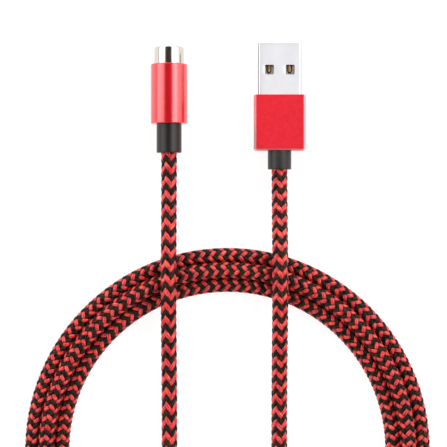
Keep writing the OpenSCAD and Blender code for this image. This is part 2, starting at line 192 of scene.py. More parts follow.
# ---- Cord: route ----
# The cord is 4.5 mm across. It leaves the magnetic head, passes over the coil's near side
# and joins the coil's inner lane; after three turns it leaves the outer lane, passes over
# the other lanes and the other run in one low hump, and goes back up to the plug.
CORD_D = 4.5 * MM
HEAD_ROUTE = np.array([
    [-16.5, -3, 5.1], [-16.5, -13, 5.1], [-16.5, -22, 5.4], [-16.5, -32, 6.8],
    [-16.5, -41, 8.4], [-16.5, -49, 9.0], [-16.5, -57, 8.4], [-16.5, -66, 6.3],
    [-16.5, -75, 3.9], [-16.5, -84, 2.6], [-16.5, -94, 2.25], [-16.5, -105, 2.25],
    [-16.4, -116, 2.25], [-14.8, -125.5, 2.25], [-10.2, -133, 2.25], [-3.2, -138.5, 2.25],
    [5.9, -141.3, 2.25]]) * MM
USB_ROUTE = np.array([
    [14.4, -10, 3.8], [14.4, -18, 3.8], [14.4, -27, 4.6], [14.4, -35, 6.6],
    [14.4, -42, 8.4], [14.4, -49, 9.0], [14.4, -57, 8.4], [14.4, -66, 6.3],
    [14.4, -75, 3.9], [14.4, -84, 2.6], [14.4, -94, 2.25], [14.4, -105, 2.4],
    [14.2, -115, 3.2], [12.9, -124.5, 4.6], [9.6, -132.2, 6.1], [4.5, -138, 7.0],
    [-2.4, -142.8, 7.1], [-10.4, -145.4, 7.1], [-18.5, -145.8, 6.8], [-26.2, -144, 5.8],
    [-33.6, -139.8, 4.3], [-40.3, -134.2, 2.9]]) * MM
coil_low, coil_high = (np.array(corner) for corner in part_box("cord_coil"))
COIL_CENTRE = (coil_low + coil_high)[:2] / 2
LANE_PITCH = 4.0 * MM
COIL_R = (coil_high[0] - coil_low[0]) / 2 - CORD_D / 2 - LANE_PITCH   # the middle lane's
LANE_RISE = 2.08 * MM            # the middle lane rests on the other two
LANE_SPREAD = 0.5 * MM           # and they move apart where the last turn leaves
JOIN_ANGLE = -66.4               # where the head's run meets the inner lane
LEAVE_ANGLE = 212.0              # where the plug's run leaves the outer lane
TURNS = 2                        # whole turns between those two, besides the part turn
TIE_ANGLE = -45.0
TIE_T = 0.9 * MM                 # the strap's lower layer lifts the lanes by this
POINTS_PER_TURN = 30


def ease(low, high, value):
    """Smooth step from 0 at low to 1 at high: 3 t^2 - 2 t^3."""
    t = np.clip((value - low) / (high - low), 0, 1)
    return t * t * (3 - 2 * t)


def coil_points(angle):
    """Centre of the cord at an unwrapped angle in degrees. The radius steps out by one lane
    a turn, between the place where the last turn leaves and the one where the first joins."""
    turn = np.floor((angle - JOIN_ANGLE) / 360 + 1e-9)
    place = angle - 360 * turn
    lane = turn + ease(228, 290, place)
    apart = ease(185, 215, place) * (1 - ease(250, 290, place))
    radius = COIL_R + (LANE_PITCH + LANE_SPREAD * apart) * (lane - 1)
    rise = LANE_RISE * np.sin(np.pi * lane / 2) ** 2 * (1 - apart)
    off_tie = (place - TIE_ANGLE + 180) % 360 - 180
    rise = rise + TIE_T * (1 - ease(9, 32, np.abs(off_tie)))
    turned = np.radians(angle)
    return np.stack([COIL_CENTRE[0] + radius * np.cos(turned),
                     COIL_CENTRE[1] + radius * np.sin(turned), CORD_D / 2 + rise], axis=1)


def smooth_route(points, step):
    """Natural cubic spline through the points, parted by their chords, then resampled at
    even steps of its own length. Its second derivatives solve one linear system."""
    knots = np.r_[0, np.cumsum(np.linalg.norm(np.diff(points, axis=0), axis=1))]
    h, n = np.diff(knots), len(knots)
    system, right = np.eye(n), np.zeros((n, 3))
    inner = np.arange(1, n - 1)
    system[inner, inner - 1] = h[:-1]
    system[inner, inner] = 2 * (h[:-1] + h[1:])
    system[inner, inner + 1] = h[1:]
    right[1:-1] = 6 * np.diff(np.diff(points, axis=0) / h[:, None], axis=0)
    bend = np.linalg.solve(system, right)
    t = np.linspace(0, knots[-1], int(knots[-1] / (step / 4)))
    k = np.clip(np.searchsorted(knots, t, side="right") - 1, 0, n - 2)
    a, b, hk = (knots[k + 1] - t)[:, None], (t - knots[k])[:, None], h[k][:, None]
    fine = (bend[k] * a ** 3 + bend[k + 1] * b ** 3) / (6 * hk) \
        + (points[k] / hk - bend[k] * hk / 6) * a \
        + (points[k + 1] / hk - bend[k + 1] * hk / 6) * b
    run = np.r_[0, np.cumsum(np.linalg.norm(np.diff(fine, axis=0), axis=1))]
    even = np.linspace(0, run[-1], int(run[-1] / step) + 1)
    return even, np.stack([np.interp(even, run, fine[:, i]) for i in range(3)], axis=1)


JOIN_GAP = 3                     # degrees left free after the head's run
ROUTE_STEP = 0.4 * MM
first = JOIN_ANGLE + JOIN_GAP
last = LEAVE_ANGLE + 360 * TURNS
winding = coil_points(np.linspace(first, last, int((last - first) / 360 * POINTS_PER_TURN)))
along, centre = smooth_route(np.vstack([HEAD_ROUTE, winding, USB_ROUTE[::-1]]), ROUTE_STEP)
heading = np.gradient(centre, axis=0)
heading /= np.linalg.norm(heading, axis=1)[:, None]
upward = np.array([0, 0, 1.0]) - heading[:, 2:] * heading
upward /= np.linalg.norm(upward, axis=1)[:, None]
aside = np.cross(heading, upward)


# ---- Cord: jacket ----
# Dark PVC, extruded round the conductors. The braid is worked over it and hides all but
# the odd glint between two yarns.
JACKET_R = 1.59 * MM
JACKET_SIDES = 16


def at_length(table, distance):
    """Rows of a per-length table at any distances along the cord, by linear interpolation."""
    flat = [np.interp(distance.ravel(), along, table[:, i]) for i in range(table.shape[1])]
    return np.stack(flat, axis=1).reshape(*distance.shape, table.shape[1])


def cord_surface(distance, angle, radius):
    """A point at a distance along the cord, an angle round it and a radius out of its
    centre: centre + radius (cos angle aside + sin angle upward)."""
    out = np.cos(angle)[..., None] * at_length(aside, distance) \
        + np.sin(angle)[..., None] * at_length(upward, distance)
    return at_length(centre, distance) + radius[..., None] * out


def shown(name, mesh, body="cable"):
    """Puts a finished mesh into the scene as a piece that rides on a body."""
    piece = bpy.data.objects.new(name, mesh)
    bpy.context.scene.collection.objects.link(piece)
    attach(piece, body)
    return piece


def mesh_of(name, points, loops, sizes, material, uv=None, sharp=None):
    """A smooth mesh from its points, its faces' corners in a row, and each face's size.
    Edges steeper than the sharp angle, in degrees, are kept crisp."""
    mesh = bpy.data.meshes.new(name)
    mesh.vertices.add(len(points))
    mesh.vertices.foreach_set("co", points.astype(np.float32).ravel())
    mesh.loops.add(len(loops))
    mesh.loops.foreach_set("vertex_index", loops.astype(np.int32))
    mesh.polygons.add(len(sizes))
    mesh.polygons.foreach_set("loop_start", np.r_[0, np.cumsum(sizes)[:-1]].astype(np.int32))
    if uv is not None:
        layer = mesh.uv_layers.new(name="weave")
        layer.data.foreach_set("uv", uv.reshape(-1, 2)[loops].astype(np.float32).ravel())
    mesh.update(calc_edges=True)
    mesh.validate()
    mesh.shade_smooth()
    if sharp is not None:
        mesh.set_sharp_from_angle(angle=np.radians(sharp))
    mesh.materials.append(material)
    return mesh


def loft(name, rings, material, closed=False, uv=None, sharp=None):
    """A skin over closed rings, an array of rings by corners by xyz: four-sided faces join
    each ring to the next. The last ring joins the first, or a flat face closes each end."""
    count, sides = rings.shape[:2]
    i, k = np.meshgrid(np.arange(count if closed else count - 1), np.arange(sides),
                       indexing="ij")
    after = (i + 1) % count * sides
    here, beside = i * sides + k, i * sides + (k + 1) % sides
    quads = np.stack([here, after + k, after + (k + 1) % sides, beside], axis=-1)
    loops, sizes = quads.ravel(), np.full(i.size, 4)
    if not closed:
        loops = np.r_[loops, np.arange(sides), count * sides - 1 - np.arange(sides)]
        sizes = np.r_[sizes, sides, sides]
    return shown(name, mesh_of(name, rings.reshape(-1, 3), loops, sizes, material, uv, sharp))


def pvc_paint(tree):
    """PVC: dull black-grey, slightly mottled by the extruder."""
    colour = add(tree, "ShaderNodeValToRGB", {"Fac": grain(tree, 0.8 * MM, 3.0)},
                 stops=[(0.3, linear("#161516")), (0.7, linear("#242324"))]).outputs["Color"]
    return add(tree, "ShaderNodeBsdfPrincipled", {
        "Base Color": colour, "Roughness": 0.6, "Specular IOR Level": 0.3}).outputs["BSDF"]


jacket_pvc = surface("extruded_pvc_jacket", pvc_paint)
jacket_at = np.linspace(0, along[-1], int(along[-1] / MM))
jacket_turn = np.arange(JACKET_SIDES) * 2 * np.pi / JACKET_SIDES
distance, angle = np.meshgrid(jacket_at, jacket_turn, indexing="ij")
jacket = loft("cord_jacket", cord_surface(distance, angle, np.full(distance.shape, JACKET_R)),
              jacket_pvc)


# ---- Cord: braid ----
# Sixteen flat polyester yarns, eight wound each way, red and black by turns. Each passes
# over two and under two of the other set, which stacks the floats into eight columns.
YARNS = 8                        # in each direction
MID_R = 1.84 * MM                # radius at the middle of the braid's thickness
YARN_HALF_T = 0.20 * MM
# on the runs and in the coil, where the yarns are bunched: how far a yarn rises and dips
# from the middle, its width as a share of its room, and the strength of the shade
# painted into its dips
WAVE = (0.22 * MM, 0.27 * MM)
YARN_FILL = (1.04, 1.02)
DIP_SHADE = (0.45, 0.9)
# distance from the head end and lead, the length of one turn of a yarn, in mm: the braid
# is drawn longer near the ends than in the coil
total = along[-1]
LEAD = np.array([(0, 15.7), (25, 16.0), (36, 15.4), (52, 14.8), (60, 16.2), (70, 17.35),
                 (78, 17.4), (90, 16.6), (125, 15.5), (190, 11.581), (1000, 11.581),
                 (1130, 14.4), (1170, 15.0), (1183, 14.7), (1197, 13.7), (1212, 14.6),
                 (2000, 14.8)])
# distance and twist in degrees: a float leaning one way lies on top along both straight
# runs, and the cord turns over a little in the coil
TWIST = np.array([(0, 67), (150, 67), (284, 102), (357, 96), (509, 125), (588, 99),
                  (668, 84), (832, 50), (918, 55), (1004, 51), (1110, 78.75),
                  (2000, 78.75)])
PHASE_START = -0.636             # turn of the braid at the head end, in radians
WEAVE_APART = 3.7                # sets the yarns apart on the pattern of filaments
PHASE_STEP = 22.5 / 2.75         # degrees a yarn turns from one ring of its mesh to the next
# outline of a yarn: places across it from -1 to 1, and heights as shares of its thickness
ACROSS = np.array([-1.0, -0.82, -0.42, 0.0, 0.42, 0.82, 1.0, 0.6, -0.6])
HEIGHT = np.array([-0.3, 0.35, 0.86, 1.0, 0.86, 0.35, -0.3, -0.9, -0.9])

lead = np.interp(along, LEAD[:, 0] * MM, LEAD[:, 1] * MM)
BUNCHED_LEAD = (14.2 * MM, 11.8 * MM)        # a shorter lead bunches the yarns
bunched = ease(*BUNCHED_LEAD, lead)
turn_rate = 2 * np.pi / lead
phase = PHASE_START + np.r_[0, np.cumsum((turn_rate[1:] + turn_rate[:-1]) / 2
                                         * np.diff(along))]
twist = np.radians(np.interp(along, TWIST[:, 0] * MM, TWIST[:, 1]))


def float_wave(crossing):
    """+1 where a yarn floats over two crossings, -1 where it passes under the next two:
    a cosine of period four, flattened by tanh, with its crest between crossings 0 and 1."""
    return np.tanh(1.1 * np.cos(np.pi / 2 * (crossing - 0.5))) / np.tanh(1.1)


def yarn_rings(hand, number):
    """One yarn as rings of outline points. Its centre turns with the braid's phase, right
    handed or left handed, and each point steps across it along the cord's own surface.
    Its height waves with the number of crossings it has passed."""
    pitch = 2 * np.pi / YARNS
    steps = np.arange(phase[0], phase[-1], np.radians(PHASE_STEP))
    distance = np.interp(steps, phase, along)[:, None]
    tight = np.interp(distance, along, bunched)
    slant = np.arctan(MID_R * np.interp(distance, along, turn_rate))
    q = np.pi * MID_R / YARNS * np.cos(slant) * np.interp(tight, (0, 1), YARN_FILL) * ACROSS
    s = np.clip(distance - hand * q * np.sin(slant), 0, total)
    own = hand * steps[:, None] + number * pitch + q * np.cos(slant) / MID_R
    passed = (own + hand * np.interp(s, along, phase)) / pitch
    lift = hand * float_wave(number + passed)
    radius = MID_R + np.interp(tight, (0, 1), WAVE) * lift + YARN_HALF_T * HEIGHT
    uv = np.stack([np.broadcast_to(distance / MM, s.shape),
                   np.broadcast_to(ACROSS / 2 + 0.5 + WEAVE_APART * number, s.shape)], axis=-1)
    # painted shade, darkest in the coil, where the yarn dips under the other set
    raised = ease(0.25 * tight - 0.2, 0.75 + 0.15 * tight, lift)
    lit = 1 - np.interp(tight, (0, 1), DIP_SHADE) * (1 - raised)
    return cord_surface(s, own + np.interp(s, along, twist), radius), uv, lit


def yarn_paint(dark, mid, light, streak_highlight, shine):
    """Untwisted polyester filament: a flat, silky ribbon. Its filaments show as fine pale
    lines along it, made brighter as painted highlights. Its colour shifts a little from
    float to float, and painted shade darkens it where it dives under its neighbours."""
    def paint(tree):
        place = add(tree, "ShaderNodeUVMap", uv_map="weave").outputs["UV"]
        # a filament is 0.02 mm; lines of 0.2 mm are the finest that show
        lines = add(tree, "ShaderNodeTexNoise", {
            "Vector": add(tree, "ShaderNodeMapping", {
                "Vector": place, "Scale": (0.5, 6.0, 1.0)}).outputs[0],
            "Scale": 1.0, "Detail": 2.0, "Roughness": 0.6}).outputs["Fac"]
        hue = add(tree, "ShaderNodeValToRGB", {"Fac": grain(tree, 0.9 * MM, 1.0)}, stops=[
            (0.36, linear(dark)), (0.64, linear(light)), (0.5, linear(mid))])
        # the pale lines are the filaments, drawn brighter as painted highlights
        pale = add(tree, "ShaderNodeMapRange", {
            "Value": lines, "From Min": 0.48, "From Max": 0.72, "To Max": 0.8}).outputs[0]
        streaked_highlighted = add(tree, "ShaderNodeMix", {
            "Factor": pale, 6: hue.outputs["Color"], 7: linear(streak_highlight)}, data_type="RGBA")
        # painted shade: the colour is scaled down in the yarn's dips
        lit = add(tree, "ShaderNodeAttribute", attribute_name="lit").outputs["Fac"]
        colour = add(tree, "ShaderNodeVectorMath", {0: streaked_highlighted.outputs[2], "Scale": lit},
                     operation="SCALE").outputs[0]
        bump = add(tree, "ShaderNodeBump", {
            "Height": lines, "Strength": 0.6, "Distance": 0.06 * MM})
        return add(tree, "ShaderNodeBsdfPrincipled", {
            "Base Color": colour, "Roughness": 0.3, "IOR": 1.57, "Specular IOR Level": shine,
            "Sheen Weight": 0.05, "Sheen Roughness": 0.45, "Sheen Tint": linear(streak_highlight),
            "Normal": bump.outputs[0]}).outputs["BSDF"]
    return paint


# the fourth colour is the filaments' pale streaks, drawn bright as painted highlights
red_yarn = surface("red_polyester_yarn",
                   yarn_paint("#CC082C", "#E81824", "#FC3C2E", "#FF8E88", 0.4))
black_yarn = surface("black_polyester_yarn",
                     yarn_paint("#0C0603", "#1C110A", "#2C1F13", "#54432F", 0.1))
for hand, side in ((1, "right"), (-1, "left")):
    for number in range(YARNS):
        rings, uv, lit = yarn_rings(hand, number)
        yarn = loft(f"braid_yarn_{side}_{number + 1}", rings,
                    (red_yarn, black_yarn)[number % 2], uv=uv)
        # painted shade for the material: 1 on a float's crest, less in its dips
        shade = yarn.data.attributes.new("lit", "FLOAT", "POINT")
        shade.data.foreach_set("value", lit.astype(np.float32).ravel())


# ---- Strap round the coil ----
# Hook-and-loop band: woven nylon with a brushed pile, wound once round the three turns,
# with its end lapped over its start and pressed down on it.
TIE_W = 12 * MM
TIE_EASE = 0.1 * MM              # room between the strap and the cord
TIE_LAP = 8.5 * MM
TIE_STEP = 0.25 * MM
TIE_START = 55.0                 # where the inner end lies, in degrees round the bundle
TIE_EDGE = 0.3 * MM
TIE_CLIMB = (4 * MM, 0.5 * MM)   # the lap rises from so far before its start to past it


def strap_rings():
    """The band as rings across its width. It follows the hull of the three lanes: the
    point whose outward normal has a given angle is the furthest lane's centre plus the
    normal times the lane's radius. Past one whole turn it rises on to its own start."""
    turned = np.radians(TIE_START + np.arange(0, 360, 0.5))
    normal = np.stack([np.cos(turned), np.sin(turned)], axis=1)
    level = CORD_D / 2 + TIE_T
    lanes = np.array([(COIL_R - LANE_PITCH, level), (COIL_R, level + LANE_RISE),
                      (COIL_R + LANE_PITCH, level)])
    reach = CORD_D / 2 + TIE_EASE + TIE_T / 2
    hull = lanes[np.argmax(normal @ lanes.T, axis=1)] + reach * normal
    hull[:, 1] = np.maximum(hull[:, 1], TIE_T / 2)
    hull = np.vstack([hull, hull[:1]])
    run = np.r_[0, np.cumsum(np.linalg.norm(np.diff(hull, axis=0), axis=1))]
    walk = np.arange(0, run[-1] + TIE_LAP, TIE_STEP)
    middle = np.stack([np.interp(walk % run[-1], run, hull[:, i]) for i in (0, 1)], axis=1)
    tangent = np.gradient(middle, axis=0)
    tangent /= np.linalg.norm(tangent, axis=1)[:, None]
    out = np.stack([tangent[:, 1], -tangent[:, 0]], axis=1)
    lapped = ease(run[-1] - TIE_CLIMB[0], run[-1] + TIE_CLIMB[1], walk)
    middle = middle + out * (lapped * TIE_T)[:, None]
    # the band's own outline: width by thickness with rounded edges
    half_w, half_t, e = TIE_W / 2, TIE_T / 2, TIE_EDGE
    w = np.array([-half_w + e, 0, half_w - e, half_w, half_w,
                  half_w - e, 0, -half_w + e, -half_w, -half_w])
    t = np.array([-half_t, -half_t, -half_t, -half_t + e, half_t - e,
                  half_t, half_t, half_t, half_t - e, -half_t + e])
    radius = middle[:, :1] + out[:, :1] * t
    height = middle[:, 1:] + out[:, 1:] * t
    polar = np.radians(TIE_ANGLE) + w / COIL_R
    return np.stack([COIL_CENTRE[0] + radius * np.cos(polar),
                     COIL_CENTRE[1] + radius * np.sin(polar), height], axis=-1), walk, w


def strap_paint(tree):
    """Brushed nylon pile: near black, matt and fuzzy, in fine ribs across the band."""
    place = add(tree, "ShaderNodeUVMap", uv_map="weave").outputs["UV"]
    ribs = add(tree, "ShaderNodeTexWave", {
        "Vector": place, "Scale": 0.35, "Distortion": 4.0, "Detail": 2.0,
        "Detail Scale": 3.0}, bands_direction="X")
    pile = grain(tree, 0.12 * MM, 3.0)
    height = add(tree, "ShaderNodeMath", {0: ribs.outputs["Fac"], 1: pile}, operation="ADD")
    colour = add(tree, "ShaderNodeValToRGB", {"Fac": pile}, stops=[
        (0.35, linear("#0C0C0D")), (0.65, linear("#26262A"))]).outputs["Color"]
    bump = add(tree, "ShaderNodeBump", {
        "Height": height.outputs[0], "Strength": 0.8, "Distance": 0.12 * MM})
    return add(tree, "ShaderNodeBsdfPrincipled", {
        "Base Color": colour, "Roughness": 0.85, "Specular IOR Level": 0.25,
        "Sheen Weight": 0.3, "Sheen Roughness": 0.5, "Sheen Tint": linear("#55555C"),
        "Normal": bump.outputs[0]}).outputs["BSDF"]


rings, walk, w = strap_rings()
uv = np.stack(np.broadcast_arrays(walk[:, None] / MM, w / MM), axis=-1)
strap = loft("coil_strap", rings, surface("brushed_nylon_pile", strap_paint),
             uv=uv, sharp=50)
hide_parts("coil_tie")

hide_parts("cord_run_head", "cord_run_usb", "cord_coil")


# ---- Magnetic head: nose ----
# Turned ferritic steel, nickel plated and polished: a plain tube with a rounded front rim.
# Its slimmer rear half is pressed into the sleeve, and the contact disc sits in its bore.
ROUND_SIDES = 160
ROUND = np.arange(ROUND_SIDES) * 2 * np.pi / ROUND_SIDES
head_low, head_high = (np.array(corner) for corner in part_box("head_sleeve"))
HEAD_AXIS = ((head_low[0] + head_high[0]) / 2, (head_low[2] + head_high[2]) / 2)


def span(node):
    """Where a CAD node starts and ends along Y, in mm."""
    low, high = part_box(node)
    return low[1] / MM, high[1] / MM


def softened(corners, steps=7):
    """A closed outline of (y, radius, rounding) corners, in mm, with each corner replaced
    by a quadratic curve that starts and ends one rounding away from it along its sides."""
    rows = np.array(corners, float)
    point, reach = rows[:, :2], rows[:, 2:]
    back, ahead = np.roll(point, 1, axis=0) - point, np.roll(point, -1, axis=0) - point
    start = point + back / np.linalg.norm(back, axis=1)[:, None] * reach
    end = point + ahead / np.linalg.norm(ahead, axis=1)[:, None] * reach
    t = np.linspace(0, 1, steps)[:, None]
    curve = (1 - t) ** 2 * start[:, None] + 2 * t * (1 - t) * point[:, None] \
        + t ** 2 * end[:, None]
    return curve.reshape(-1, 2) * MM


def stacked(outline, angles, axis):
    """Rings about an axis along Y: each has its own y, and a radius or a row of radii."""
    y = np.array([row[0] for row in outline])[:, None]
    radius = np.array([np.broadcast_to(row[1], angles.shape) for row in outline])
    return np.stack([axis[0] + radius * np.cos(angles), np.broadcast_to(y, radius.shape),
                     axis[1] + radius * np.sin(angles)], axis=-1)


def nickel_paint(tree):
    """Polished nickel plate: mirror-like, faintly warm, with the lathe's finest rings."""
    rings = grain(tree, 0.1 * MM, 1.0, (0.02, 1.0, 0.02))
    rough = add(tree, "ShaderNodeMapRange", {
        "Value": grain(tree, 2 * MM), "To Min": 0.10, "To Max": 0.17}).outputs[0]
    bump = add(tree, "ShaderNodeBump", {
        "Height": rings, "Strength": 0.12, "Distance": 0.01 * MM})
    return add(tree, "ShaderNodeBsdfPrincipled", {
        "Base Color": linear("#D8D3CE"), "Metallic": 1.0, "Roughness": rough,
        "Normal": bump.outputs[0]}).outputs["BSDF"]


NOSE_R, SPIGOT_R, BORE_R = 4.15, 3.8, 3.5
nose_rear, nose_tip = span("head_nose")
sleeve_rear, sleeve_front = span("head_sleeve")
nose_outline = softened([
    (nose_rear, BORE_R, 0.05), (nose_rear, SPIGOT_R, 0.1), (sleeve_front, SPIGOT_R, 0.01),
    (sleeve_front + 0.02, NOSE_R, 0.12), (nose_tip, NOSE_R, 0.6), (nose_tip, BORE_R, 0.12)])
nose = loft("nose", stacked(nose_outline, ROUND, HEAD_AXIS),
            surface("polished_nickel_plate", nickel_paint),
            closed=True, sharp=40)
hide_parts("head_nose")


# ---- Magnetic head: sleeve ----
# Turned aluminium, anodised red over a fine satin finish, with rounded rims. It is pressed
# over the nose in front, and its rear wall holds the collar.
def anodised_paint(dark, light, drift, coat_rough, coat_ior):
    """Red anodised aluminium: a tinted metal under a clear oxide layer, so that it glows
    from within and shows soft, nearly white lights. The blasted grain is 0.05 mm, drawn
    twice as coarse so that it shows."""
    def paint(tree):
        blast = grain(tree, 0.1 * MM, 2.0)
        colour = add(tree, "ShaderNodeValToRGB", {"Fac": grain(tree, drift)}, stops=[
            (0.3, linear(dark)), (0.7, linear(light))]).outputs["Color"]
        rough = add(tree, "ShaderNodeMapRange", {
            "Value": blast, "To Min": 0.30, "To Max": 0.40}).outputs[0]
        bump = add(tree, "ShaderNodeBump", {
            "Height": blast, "Strength": 0.15, "Distance": 0.02 * MM})
        return add(tree, "ShaderNodeBsdfPrincipled", {
            "Base Color": colour, "Metallic": 0.45, "Roughness": rough,
            "Specular IOR Level": 0.0, "Coat Weight": 1.0, "Coat Roughness": coat_rough,
            "Coat IOR": coat_ior, "Normal": bump.outputs[0]}).outputs["BSDF"]
    return paint


# the coat's IOR is above the 1.77 of aluminium oxide, for the strength of its lights
polished_red = surface("red_anodised_polished", anodised_paint(
    "#E8041A", "#F50A28", 1.5 * MM, 0.2, 2.05))
SLEEVE_R, SLEEVE_BORE_R, SLEEVE_HOLE_R, SLEEVE_WALL = 5.1, 3.85, 3.55, 1.3
sleeve_floor = sleeve_rear + SLEEVE_WALL
sleeve_outline = softened([
    (sleeve_rear, SLEEVE_HOLE_R, 0.1), (sleeve_rear, SLEEVE_R, 0.3),
    (sleeve_front, SLEEVE_R, 0.3), (sleeve_front, SLEEVE_BORE_R, 0.08),
    (sleeve_floor, SLEEVE_BORE_R, 0.02), (sleeve_floor, SLEEVE_HOLE_R, 0.02)])
sleeve = loft("sleeve", stacked(sleeve_outline, ROUND, HEAD_AXIS), polished_red,
              closed=True, sharp=40)
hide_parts("head_sleeve")


# ---- Strain-relief collars ----
# Black thermoplastic elastomer, moulded on the cord, each with a flange that a connector's
# rear wall traps. Only the plain barrel stands out.
def collar_paint(tree):
    """Moulded elastomer: soft black, with the faint spark-eroded grain of its mould."""
    spark = grain(tree, 0.12 * MM, 2.0)
    colour = add(tree, "ShaderNodeValToRGB", {"Fac": spark}, stops=[
        (0.3, linear("#171413")), (0.7, linear("#211D1C"))]).outputs["Color"]
    bump = add(tree, "ShaderNodeBump", {
        "Height": spark, "Strength": 0.2, "Distance": 0.02 * MM})
    return add(tree, "ShaderNodeBsdfPrincipled", {
        "Base Color": colour, "Roughness": 0.38, "IOR": 1.5,
        "Normal": bump.outputs[0]}).outputs["BSDF"]


def box_outline(width, height, cut, angles):
    """Distance from the middle to a cut-cornered box along each angle: the least, over its
    sides, of the side's own distance over the cosine of the angle between."""
    side = np.radians(np.arange(8) * 45)
    corner = (width + height - 2 * cut) / 2 ** 1.5
    off = np.array([width / 2, corner, height / 2, corner] * 2)
    facing = np.cos(angles[:, None] - side)
    return np.where(facing > 1e-6, off / np.maximum(facing, 1e-6), np.inf).min(axis=1)


collar_black = surface("moulded_elastomer", collar_paint)
CORD_HOLE_R, HEAD_COLLAR_R, HEAD_FLANGE_R = 2.3, 3.5, 3.8
PLUG_COLLAR_R, PLUG_FLANGE_T = 3.3, 1.19
PLUG_FLANGE_W, PLUG_FLANGE_H, PLUG_FLANGE_CUT = 8, 5.8, 0.4
mouth, flange_end = span("head_collar")
flange_start = sleeve_floor + 0.05
head_collar_outline = softened([
    (mouth, CORD_HOLE_R, 0.1), (mouth, HEAD_COLLAR_R, 0.3),
    (flange_start, HEAD_COLLAR_R, 0.02), (flange_start, HEAD_FLANGE_R, 0.02),
    (flange_end, HEAD_FLANGE_R, 0.05), (flange_end, CORD_HOLE_R, 0.05)])
head_collar = loft("head_collar_moulding", stacked(head_collar_outline, ROUND, HEAD_AXIS),
                   collar_black, closed=True, sharp=40)
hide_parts("head_collar")

cover_low, cover_high = (np.array(corner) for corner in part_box("usb_cover"))
PLUG_AXIS = ((cover_low[0] + cover_high[0]) / 2, (cover_low[2] + cover_high[2]) / 2)
flange = box_outline(PLUG_FLANGE_W * MM, PLUG_FLANGE_H * MM, PLUG_FLANGE_CUT * MM, ROUND)
mouth, flange_end = span("usb_collar")
flange_start = flange_end - PLUG_FLANGE_T
plug_collar_outline = [(y, r) for y, r in softened([
    (mouth, CORD_HOLE_R, 0.1), (mouth, PLUG_COLLAR_R, 0.25),
    (flange_start, PLUG_COLLAR_R, 0.02)])[:-3]]
plug_collar_outline += [(flange_start * MM, flange), (flange_end * MM, flange),
                        (flange_end * MM, CORD_HOLE_R * MM)]
plug_collar = loft("plug_collar_moulding", stacked(plug_collar_outline, ROUND, PLUG_AXIS),
                   collar_black, closed=True, sharp=40)
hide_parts("usb_collar")


# ---- USB plug: cover ----
# Extruded aluminium box, anodised red, then its four long edges and rear rim cut with a
# diamond tool, which leaves them bare and bright. A hole in its rear wall passes the collar.
COVER_W, COVER_T, COVER_WALL, COVER_CUT, REAR_CUT = 14.4, 7.6, 0.8, 0.6, 0.3
REAR_WALL, COVER_HOLE_R = 1.2, 3.35
COVER_SIDES = 144


def cut_paint(tree):
    """Diamond-cut aluminium: bare and bright, with fine tool lines along the edge."""
    lines = grain(tree, 0.06 * MM, 1.0, (1.0, 0.04, 1.0))
    bump = add(tree, "ShaderNodeBump", {
        "Height": lines, "Strength": 0.2, "Distance": 0.01 * MM})
    return add(tree, "ShaderNodeBsdfPrincipled", {
        "Base Color": linear("#EEB8BE"), "Metallic": 1.0, "Roughness": 0.3,
        "Normal": bump.outputs[0]}).outputs["BSDF"]


def cover_shell():
    """Rings from the front rim back along the outside, across the rear wall to the hole,
    and forward along the cavity. Corners of both outlines have an angle of their own."""
    w, t, c = COVER_W / 2, COVER_T / 2, COVER_CUT
    corners = [np.arctan2(t - c, w), np.arctan2(t, w - c),
               np.arctan2(t - COVER_WALL, w - COVER_WALL)]
    corners = [sign * a + turn for a in corners for sign, turn in
               ((1, 0), (-1, 0), (1, np.pi), (-1, np.pi))]
    angles = np.unique(np.round(np.r_[np.arange(COVER_SIDES) * 2 * np.pi / COVER_SIDES,
                                      np.array(corners) % (2 * np.pi)], 6))
    outer = box_outline(COVER_W, COVER_T, c, angles)
    rear = box_outline(COVER_W - 2 * REAR_CUT, COVER_T - 2 * REAR_CUT, c - 0.1, angles)
    cavity = box_outline(COVER_W - 2 * COVER_WALL, COVER_T - 2 * COVER_WALL, 0.02, angles)
    hole = np.full(angles.shape, COVER_HOLE_R)
    back, front = span("usb_cover")
    rows = [(back + REAR_WALL, hole), (back + 0.1, hole), (back, hole + 0.1), (back, rear),
            (back + REAR_CUT, outer), (front - 0.1, outer), (front, outer - 0.1),
            (front, cavity + 0.08), (front - 0.08, cavity), (back + REAR_WALL, cavity)]
    rings = stacked([(y * MM, r * MM) for y, r in rows], angles, PLUG_AXIS)
    return rings, angles


rings, angles = cover_shell()
# the cover is blasted before it is dyed, and so more matt than the turned sleeve
matt_red = surface("red_anodised_blasted", anodised_paint(
    "#E0061E", "#EC102E", 0.5 * MM, 0.35, 1.4))
cover = loft("plug_cover", rings, matt_red, closed=True, sharp=25)
cover.data.materials.append(surface("diamond_cut_aluminium", cut_paint))
# faces between the two corner angles of each long edge, on the outside, are cut bare
face_angle = (angles + np.append(angles[1:], angles[0] + 2 * np.pi)) / 2
fold = np.abs((face_angle + np.pi / 2) % np.pi - np.pi / 2)
is_cut = (fold > np.arctan2(COVER_T / 2 - COVER_CUT, COVER_W / 2)) \
    & (fold < np.arctan2(COVER_T / 2, COVER_W / 2 - COVER_CUT))
marks = np.zeros((len(rings), len(angles)), np.int32)
marks[3] = 1                     # so is the whole bevel of the rear rim
marks[4:6] = is_cut
cover.data.polygons.foreach_set("material_index", marks.ravel())
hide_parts("usb_cover")


# ---- USB plug: shell ----
# Nickel-plated steel sheet, 0.3 mm thick, stamped with four latch windows and folded into
# a flat tube whose butt seam runs along the underside.
SHELL_W, SHELL_H, SHELL_WALL, SHELL_R, SEAM = 12.0, 4.5, 0.3, 0.6, 0.06
WINDOW_X = (1.65, 4.15)          # from the plug's middle
WINDOW_SETBACK, WINDOW_LENGTH, WINDOW_CORNER = 6.1, 2.7, 0.25
CORNER_STEPS = 9


